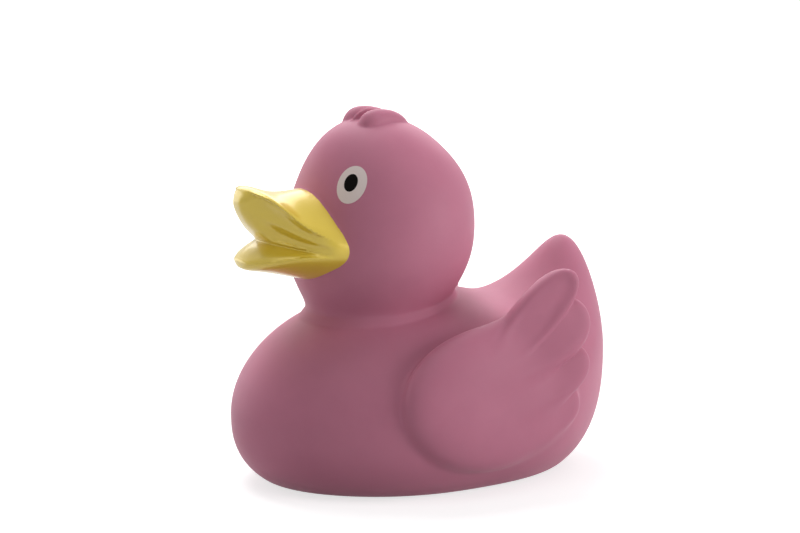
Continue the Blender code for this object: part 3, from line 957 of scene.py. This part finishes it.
@dataclass(frozen=True)
class MouldedSurface:
    """Shared effect: what every moulded or sprayed surface of the duck shows close to.

    The group puts out Height, a fine grain with broad waves in it for a bump, Mottle, a slow change of
    shade from nought to one, and Handling, a mask of faint rubbed patches and a few specks. Each noise is
    given by its scale, detail and roughness, and each span is the part of it that shows.
    """

    name: str = "moulded_surface"
    grain: Noise = (2600.0, 3.0, 0.6)
    wave: Noise = (160.0, 1.0, 0.4)
    mottle: Noise = (45.0, 4.0, 0.55)
    mottle_span: Span = (0.30, 0.70)
    rub: Noise = (90.0, 5.0, 0.6)
    rub_span: Span = (0.52, 0.72)
    rub_strength: Span = (0.0, 0.6)
    speck: Noise = (420.0, 1.0, 0.3)
    speck_span: Span = (0.80, 0.84)

    def build(self) -> bpy.types.NodeTree:
        """Make the group once.

        Returns:
            The group.
        """
        if self.name in bpy.data.node_groups:
            return bpy.data.node_groups[self.name]
        tree = bpy.data.node_groups.new(self.name, "ShaderNodeTree")
        sheet = NodeSheet(tree)
        tree.interface.new_socket("Wave", in_out="INPUT", socket_type="NodeSocketFloat")
        for name in ("Height", "Mottle", "Handling"):
            tree.interface.new_socket(name, in_out="OUTPUT", socket_type="NodeSocketFloat")
        wave = sheet.add("NodeGroupInput").outputs["Wave"]
        place = sheet.add("ShaderNodeTexCoord").outputs["Object"]
        grain = sheet.noise(place, *self.grain)
        height = sheet.maths("MULTIPLY_ADD", sheet.noise(place, *self.wave), wave, grain)
        mottle = sheet.span(sheet.noise(place, *self.mottle), self.mottle_span, WHOLE_SPAN)
        rub = sheet.span(sheet.noise(place, *self.rub), self.rub_span, self.rub_strength)
        speck = sheet.span(sheet.noise(place, *self.speck), self.speck_span, WHOLE_SPAN)
        handling = sheet.maths("MAXIMUM", rub, speck)
        sheet.add("NodeGroupOutput", {"Height": height, "Mottle": mottle, "Handling": handling})
        return tree


@dataclass(frozen=True)
class Finish:
    """A finish of the duck: two near shades, a roughness range and a fine grain, on one Principled shader.

    Attributes:
        name: Name of the material.
        slot: Name of the slot that it stands for. It is not used.
        shade: Darker shade of the mottling.
        tint: Lighter shade of the mottling.
        smooth: Roughness where nothing has rubbed.
        rubbed: Roughness where hands have rubbed.
        grain: Height of the grain in metres.
        wave: Height of the broad waves, in grains.
        fixed: Values that are the same all over, by the shader's own socket names.
    """

    name: str
    slot: str
    shade: Point
    tint: Point
    smooth: float
    rubbed: float
    grain: float
    wave: float
    fixed: dict[str, float | Point] = field(default_factory=dict)

    def build(self) -> bpy.types.Material:
        """Make the material.

        Returns:
            The material, whose colour, roughness and bump come from the shared effect.
        """
        material = bpy.data.materials.new(self.name)
        material.use_nodes = True
        sheet = NodeSheet(material.node_tree)
        tree = MouldedSurface().build()
        surface = sheet.add("ShaderNodeGroup", {"Wave": self.wave}, node_tree=tree).outputs
        shades = {"Factor": surface["Mottle"], "A": (*self.shade, 1.0), "B": (*self.tint, 1.0)}
        colour = sheet.add("ShaderNodeMix", shades, data_type="RGBA")
        relief = sheet.add("ShaderNodeBump", {"Distance": self.grain, "Height": surface["Height"]})
        shader = sheet.add("ShaderNodeBsdfPrincipled", {
            "Base Color": colour.outputs["Result"],
            "Roughness": sheet.span(surface["Handling"], WHOLE_SPAN, (self.smooth, self.rubbed)),
            "Normal": relief.outputs["Normal"], **self.fixed})
        sheet.add("ShaderNodeOutputMaterial", {"Surface": shader.outputs["BSDF"]})
        return material

    def dress(self, piece: Piece) -> None:
        """Give the finish to a piece."""
        piece.data.materials.append(bpy.data.materials.get(self.name) or self.build())


SOFT_VINYL = Finish(
    "soft_pink_vinyl", "vinyl_pink", (0.524, 0.186, 0.273), (0.574, 0.211, 0.304), 0.50, 0.60, 0.010 * MM,
    3.0, {"Specular IOR Level": 0.15, "Subsurface Weight": 0.12, "Subsurface Radius": (1.0, 0.40, 0.45),
          "Subsurface Scale": 1.2 * MM})
PEARL_LACQUER = Finish(
    "pearl_yellow_lacquer", "bill_yellow", (0.720, 0.520, 0.040), (0.785, 0.585, 0.058), 0.28, 0.36,
    0.006 * MM, 4.0, {"Metallic": 0.15, "Coat Weight": 0.4, "Coat Roughness": 0.12})
PRINTED_WHITE = Finish(
    "printed_white", "eye_white", (0.740, 0.625, 0.595), (0.785, 0.670, 0.635), 0.46, 0.54, 0.006 * MM, 1.0)
PRINTED_BLACK = Finish(
    "printed_black", "eye_black", (0.003, 0.002, 0.002), (0.005, 0.004, 0.003), 0.40, 0.50, 0.004 * MM, 1.0,
    {"Specular IOR Level": 0.03})


@dataclass
class VinylSkin:
    """The one-piece skin of the duck, which stands for the whole moulded node.

    Attributes:
        moulding: The duck's true outer form.
        lacquer: How thick the lacquer on the bill is: the vinyl under it is that much smaller.
        hidden_rounding: How much more the bill's ridge is rounded under the lacquer than on it.
        cube: Cube of the net that is laid over the form.
        rough_cube: Cube of the net for a quick try. It is not used.
        margin: Space that the net leaves round the node's box.
    """

    moulding: Moulding
    lacquer: float = 0.3 * MM
    hidden_rounding: float = 1.0 * MM
    cube: float = 0.60 * MM
    rough_cube: float = 0.85 * MM
    margin: float = 2.0 * MM

    def bare(self) -> Moulding:
        """Draw the bill in under its lacquer.

        Returns:
            The moulding before the bill is sprayed.
        """
        bill = self.moulding.bill
        radii = tuple(radius + self.hidden_rounding for radius in bill.ridge_rounding.values)
        under = replace(bill, inset=self.lacquer, ridge_rounding=replace(bill.ridge_rounding, values=radii))
        return replace(self.moulding, bill=under)

    def build(self) -> Piece:
        """Net the skin inside the node's box.

        Returns:
            The piece.
        """
        cube = self.cube
        piece = net_piece("vinyl_skin", self.bare(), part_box(DUCK_NODE), self.margin, cube)
        SOFT_VINYL.dress(piece)
        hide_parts(DUCK_NODE)
        return piece


@dataclass
class BillLacquer:
    """The coat of pearly lacquer over the bill.

    Rings round the bill would fold over each other in the mouth, so the coat is a fine net like the skin.

    Attributes:
        bill: The bill's outer form.
        cube: Cube of the net.
        rough_cube: Cube of the net for a quick try. It is not used.
        margin: Space that the net leaves round the bill.
    """

    bill: Bill
    cube: float = 0.36 * MM
    rough_cube: float = 0.50 * MM
    margin: float = 1.5 * MM

    def build(self) -> Piece:
        """Net the bill inside its own box.

        Returns:
            The piece.
        """
        bill = self.bill
        low = (-bill.half_width, bill.back_of_axis - bill.reach, min(bill.chin.values))
        high = (bill.half_width, bill.back_of_axis + bill.grip, max(bill.crown.values))
        cube = self.cube
        piece = net_piece("bill_lacquer", bill, (low, high), self.margin, cube)
        PEARL_LACQUER.dress(piece)
        return piece


class Side(Enum):
    """Side of the duck that a piece is on, with the sign of its X."""

    LEFT = 1.0
    RIGHT = -1.0


@dataclass(frozen=True)
class PrintedSpot:
    """An oval of ink on the head.

    Attributes:
        name: Name of the piece, without its side.
        finish: Its finish.
        centre: A point near its middle, on the duck's left.
        half_width: Half its width along the head.
        half_height: Half its height.
        lean: How far its top leans back, in degrees.
        proud: How far its face stands out of the vinyl.
        sunk: How far its back lies below the vinyl.
        edge: Power that rounds its rim, more for a smaller rounding.
        around: Points round it.
        rings: Rings from its middle to its rim.
    """

    name: str
    finish: Finish
    centre: Point
    half_width: float
    half_height: float
    lean: float
    proud: float
    sunk: float = 0.25 * MM
    edge: float = 6.0
    around: int = 96
    rings: int = 26

    def build(self, head: Form, side: Side) -> Piece:
        """Lay the oval on the head.

        At the share r of the oval a point lies at centre + r (half width cos u + half height sin v) in the
        head's tangent plane. It is settled on the head and moved out by proud (1 - r^edge), so that the
        ink's rim is rounded, and the back of the coat lies sunk below the vinyl.

        Args:
            head: Form of the head.
            side: Side of the duck.

        Returns:
            The piece.
        """
        middle = head.settle(np.array([self.centre]))
        outward = head.outward(middle)[0]
        back = unit(np.cross((0.0, 0.0, 1.0), outward))
        up = np.cross(outward, back)
        lean = math.radians(self.lean)
        wide = back * math.cos(lean) - up * math.sin(lean)
        tall = up * math.cos(lean) + back * math.sin(lean)
        turn = np.linspace(0.0, 2.0 * np.pi, self.around, endpoint=False)
        oval = (self.half_width * np.cos(turn)[:, None] * wide
                + self.half_height * np.sin(turn)[:, None] * tall)
        share = np.sin(np.linspace(0.0, 0.5 * np.pi, self.rings))
        face = middle + share[::-1][:, None, None] * oval
        on_head = head.settle(face.reshape(-1, 3))
        normals = head.outward(on_head)
        lift = np.repeat(self.proud * (1.0 - share[::-1] ** self.edge), self.around)[:, None]
        front = (on_head + lift * normals).reshape(face.shape)
        rear = (on_head - self.sunk * normals).reshape(face.shape)[::-1]
        points, faces = capped_rings(np.concatenate((rear, front)))
        normals = np.concatenate((-normals.reshape(face.shape)[::-1], normals.reshape(face.shape)))
        normals = np.concatenate((normals[1:-1].reshape(-1, 3), [-outward], [outward]))
        points[:, 0] *= side.value
        normals[:, 0] *= side.value
        if side is Side.RIGHT:
            faces = [face[::-1] for face in faces]
        piece = make_piece(f"{self.name}_{side.name.lower()}", points, faces, normals)
        self.finish.dress(piece)
        return piece


@dataclass
class PrintedEyes:
    """The two eyes: on each side a white oval and on it a black pupil."""

    head: Form
    white: PrintedSpot = PrintedSpot(
        "eye_white", PRINTED_WHITE, (11.94 * MM, -22.05 * MM, 64.48 * MM), 3.15 * MM, 4.08 * MM, 14.8,
        0.12 * MM)
    pupil: PrintedSpot = PrintedSpot(
        "pupil", PRINTED_BLACK, (11.75 * MM, -22.06 * MM, 64.76 * MM), 1.66 * MM, 2.20 * MM, 12.1, 0.20 * MM)

    def build(self) -> list[Piece]:
        """Lay both ovals on both sides."""
        return [spot.build(self.head, side) for side in Side for spot in (self.white, self.pupil)]


@dataclass(frozen=True)
class SoftBox:
    """A large soft lamp.

    Attributes:
        name: Its name.
        azimuth: Where it stands, in degrees to the right of the camera as the camera sees the duck.
        elevation: How high it stands, in degrees.
        distance: How far from the duck's middle.
        width: Its width.
        height: Its height.
        power: Its power in watts.
    """

    name: str
    azimuth: float
    elevation: float
    distance: float
    width: float
    height: float
    power: float


@dataclass
class Studio:
    """Floor, lamps, white surround and camera.

    Attributes:
        azimuth: Where the camera stands, in degrees round from straight in front of the duck.
        elevation: How high it looks down from, in degrees.
        distance: From the camera to the target.
        target: The point that the camera is turned to.
        target_pixel: Where that point shows in the photograph's frame.
        pixel: Width of a pixel at the target.
        sensor: Width of the camera's sensor in millimetres.
        nearest: How near the camera still sees.
        floor_radius: Radius of the floor.
        floor_points: Points round it.
        floor_shade: Its paleness.
        glow: How much of the white surround shows over it, near the duck and far off.
        glow_reach: How far from the duck's middle that starts to grow and is full.
        surround: How brightly the surround lights the scene.
        lamps: The soft boxes.
    """

    azimuth: float = 62.5
    elevation: float = 10.6
    distance: float = 520.0 * MM
    target: Point = (0.0, -1.1 * MM, 36.0 * MM)
    target_pixel: Span = (415.5, 304.0)
    pixel: float = 0.2122 * MM
    sensor: float = 36.0
    nearest: float = 10.0 * MM
    floor_radius: float = 3.0
    floor_points: int = 96
    floor_shade: float = 0.55
    glow: Span = (0.70, 1.0)
    glow_reach: Span = (0.10, 0.45)
    surround: float = 0.22
    lamps: tuple[SoftBox, ...] = (
        SoftBox("right_box", 75.0, 6.0, 0.9, 0.5, 0.5, 5.1),
        SoftBox("back_box", 180.0, 35.0, 0.9, 1.0, 0.5, 3.4),
        SoftBox("back_top_box", -150.0, 65.0, 0.9, 0.5, 0.5, 4.3),
        SoftBox("left_box", -120.0, 6.0, 0.9, 0.8, 0.5, 1.7),
        SoftBox("front_fill", 0.0, 60.0, 0.9, 0.9, 0.5, 1.5),
    )

    def placed(self, azimuth: float, elevation: float, distance: float) -> Matrix:
        """Place round the target, turned to look at it.

        Args:
            azimuth: Degrees round from straight in front of the duck.
            elevation: Degrees up from the floor.
            distance: From the target.

        Returns:
            The place and turn.
        """
        turn, rise = math.radians(azimuth), math.radians(elevation)
        way = Vector((math.sin(turn) * math.cos(rise), -math.cos(turn) * math.cos(rise), math.sin(rise)))
        turned = way.to_track_quat("Z", "Y").to_matrix().to_4x4()
        return Matrix.Translation(Vector(self.target) + distance * way) @ turned

    def add_camera(self) -> None:
        """Set the camera where the photograph was taken from, with the shift that the framing needs."""
        data = bpy.data.cameras.new("camera")
        data.sensor_width = self.sensor
        data.lens = self.sensor * self.distance / (self.pixel * PHOTO_SIZE[0])
        data.shift_x = (0.5 * PHOTO_SIZE[0] - self.target_pixel[0]) / PHOTO_SIZE[0]
        data.shift_y = (self.target_pixel[1] - 0.5 * PHOTO_SIZE[1]) / PHOTO_SIZE[0]
        data.clip_start = self.nearest
        camera = bpy.data.objects.new("camera", data)
        camera.matrix_world = self.placed(self.azimuth, self.elevation, self.distance)
        bpy.context.scene.collection.objects.link(camera)
        bpy.context.scene.camera = camera

    def add_lamps(self) -> None:
        """Set up the soft boxes round the duck."""
        for lamp in self.lamps:
            data = bpy.data.lights.new(lamp.name, "AREA")
            data.shape = "RECTANGLE"
            data.size = lamp.width
            data.size_y = lamp.height
            data.energy = lamp.power
            light = bpy.data.objects.new(lamp.name, data)
            light.matrix_world = self.placed(self.azimuth + lamp.azimuth, lamp.elevation, lamp.distance)
            bpy.context.scene.collection.objects.link(light)

    def seen_directly(self, sheet: NodeSheet) -> Socket:
        """Find the rays that show the backdrop: straight to the camera, in gloss or through glass.

        Args:
            sheet: Where the nodes are added.

        Returns:
            One for those rays and nought for others.
        """
        path = sheet.add("ShaderNodeLightPath").outputs
        value = path["Is Camera Ray"]
        for name in ("Is Glossy Ray", "Is Transmission Ray"):
            value = sheet.maths("MAXIMUM", value, path[name])
        return value

    def add_surround(self) -> None:
        """Light the scene evenly from all round, and show white behind the duck."""
        world = bpy.data.worlds.new("white_surround")
        world.use_nodes = True
        sheet = NodeSheet(world.node_tree)
        strength = sheet.span(self.seen_directly(sheet), WHOLE_SPAN, (self.surround, 1.0))
        background = sheet.add("ShaderNodeBackground", {"Color": WHITE, "Strength": strength})
        sheet.add("ShaderNodeOutputWorld", {"Surface": background.outputs["Background"]})
        bpy.context.scene.world = world

    def add_floor(self) -> None:
        """Lay a round pale floor: a matt sheet that takes the shadow, under the white of the surround."""
        turn = np.linspace(0.0, 2.0 * np.pi, self.floor_points, endpoint=False)
        points = self.floor_radius * np.stack((np.cos(turn), np.sin(turn), np.zeros(turn.shape)), axis=1)
        mesh = bpy.data.meshes.new("pale_floor")
        mesh.from_pydata(points, [], [list(range(len(points)))])
        floor = bpy.data.objects.new("pale_floor", mesh)
        bpy.context.scene.collection.objects.link(floor)
        material = bpy.data.materials.new("pale_floor")
        material.use_nodes = True
        sheet = NodeSheet(material.node_tree)
        matt = sheet.add("ShaderNodeBsdfDiffuse", {"Color": (*[self.floor_shade] * 3, 1.0)})
        place = sheet.add("ShaderNodeTexCoord").outputs["Object"]
        away = sheet.add("ShaderNodeVectorMath", {0: place}, operation="LENGTH").outputs["Value"]
        spread = sheet.span(away, self.glow_reach, self.glow)
        strength = sheet.maths("MULTIPLY", spread, self.seen_directly(sheet))
        glow = sheet.add("ShaderNodeEmission", {"Strength": strength})
        both = sheet.add("ShaderNodeAddShader", {0: matt.outputs["BSDF"], 1: glow.outputs["Emission"]})
        sheet.add("ShaderNodeOutputMaterial", {"Surface": both.outputs["Shader"]})
        mesh.materials.append(material)

    def build(self) -> None:
        """Set up the whole studio."""
        bpy.context.scene.view_settings.view_transform = "Standard"
        self.add_camera()
        self.add_lamps()
        self.add_surround()
        self.add_floor()


def main() -> None:
    """Build the studio and the duck, and report each piece."""
    logging.basicConfig(level=logging.INFO, format="%(name)s: %(message)s")
    moulding = Moulding()
    Studio().build()
    pieces = [VinylSkin(moulding).build(), BillLacquer(moulding.bill).build(),
              *PrintedEyes(moulding.head).build()]
    for piece in pieces:
        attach(piece, DUCK_BODY)
        log.info("%s: %d points, %d faces", piece.name, len(piece.data.vertices), len(piece.data.polygons))


if __name__ == "__main__":
    main()
